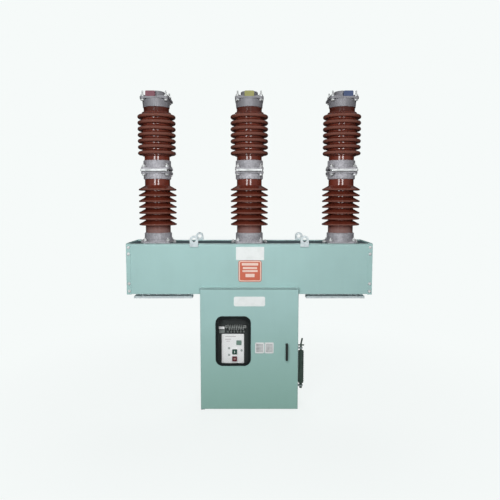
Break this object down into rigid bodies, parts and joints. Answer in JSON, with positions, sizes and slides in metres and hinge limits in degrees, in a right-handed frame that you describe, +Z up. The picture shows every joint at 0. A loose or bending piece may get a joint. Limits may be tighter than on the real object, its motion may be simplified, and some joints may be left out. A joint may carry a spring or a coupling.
{
  "type": "outdoor vacuum circuit breaker",
  "caption": "Outdoor porcelain-clad vacuum circuit breaker: shedded insulator poles on a steel trough, with a spring-mechanism cabinet hung below.",
  "frame": {"origin": "centre of the cabinet's base, on the floor, under the middle pole", "axes": "+Z up, +X along the row of poles to the right as seen from the front, the front faces -Y"},
  "size_m": [1.7, 0.47, 2.231],
  "materials": {
    "paint": "semi-gloss paint",
    "top_plate": "dark weathered paint",
    "galvanised": "galvanised",
    "casting": "matte casting",
    "tinned": "bright tinned plate",
    "porcelain": "brown glazed porcelain",
    "rubber": "matte",
    "glass": "clear",
    "mechanism": "black satin",
    "control_white": "white",
    "indicator": "tinted",
    "counter": "grey",
    "green_button": "moulded",
    "red_button": "moulded",
    "black_plastic": "moulded",
    "phase_red": "painted",
    "phase_yellow": "painted",
    "phase_blue": "painted"
  },
  "bodies": {
    "breaker": {"trough_front": "paint", "trough_rear": "paint", "trough_floor": "paint", "trough_top_plate": "top_plate", "trough_end_left": "paint", "trough_end_right": "paint", "mounting_rails": "galvanised", "lifting_lugs": "galvanised", "drip_strip": "paint", "cabinet_side_left": "paint", "cabinet_side_right": "paint", "cabinet_back": "paint", "cabinet_roof": "paint", "cabinet_floor": "paint", "door_frame": "paint", "door_seal": "rubber", "hinge_brackets": "galvanised", "mechanism_housing": "mechanism", "control_plate": "control_white", "position_indicator": "indicator", "operations_counter": "counter", "charging_handle": "black_plastic", "handle_clips": "galvanised", "left_base_casting": "casting", "left_lower_insulator": "porcelain", "left_lower_cap": "casting", "left_lower_terminal": "tinned", "left_upper_base": "casting", "left_upper_insulator": "porcelain", "left_top_cap": "casting", "left_top_terminal": "casting", "left_phase_cover": "phase_red", "centre_base_casting": "casting", "centre_lower_insulator": "porcelain", "centre_lower_cap": "casting", "centre_lower_terminal": "tinned", "centre_upper_base": "casting", "centre_upper_insulator": "porcelain", "centre_top_cap": "casting", "centre_top_terminal": "casting", "centre_phase_cover": "phase_yellow", "right_base_casting": "casting", "right_lower_insulator": "porcelain", "right_lower_cap": "casting", "right_lower_terminal": "tinned", "right_upper_base": "casting", "right_upper_insulator": "porcelain", "right_top_cap": "casting", "right_top_terminal": "casting", "right_phase_cover": "phase_blue"},
    "door": {"cabinet_door": "paint", "window_gasket": "rubber", "window_glass": "glass", "hinge_bushings": "galvanised"},
    "handle": {"door_handle": "black_plastic"},
    "closing_button": {"on_button": "green_button"},
    "opening_button": {"off_button": "red_button"}
  },
  "joints": [
    {"name": "door_swing", "type": "hinge", "parent": "breaker", "child": "door", "pos_m": [-0.331, -0.22, 0.43], "axis": [0, 0, -1], "range_deg": [0, 110]},
    {"name": "handle_turn", "type": "hinge", "parent": "door", "child": "handle", "pos_m": [0.26, -0.232, 0.471], "axis": [0, -1, 0], "range_deg": [0, 90]},
    {"name": "closing_press", "type": "slide", "parent": "breaker", "child": "closing_button", "axis": [0, 1, 0], "range_m": [0, 0.005], "stiffness_N_per_m": 800},
    {"name": "opening_press", "type": "slide", "parent": "breaker", "child": "opening_button", "axis": [0, 1, 0], "range_m": [0, 0.005], "stiffness_N_per_m": 800}
  ]
}
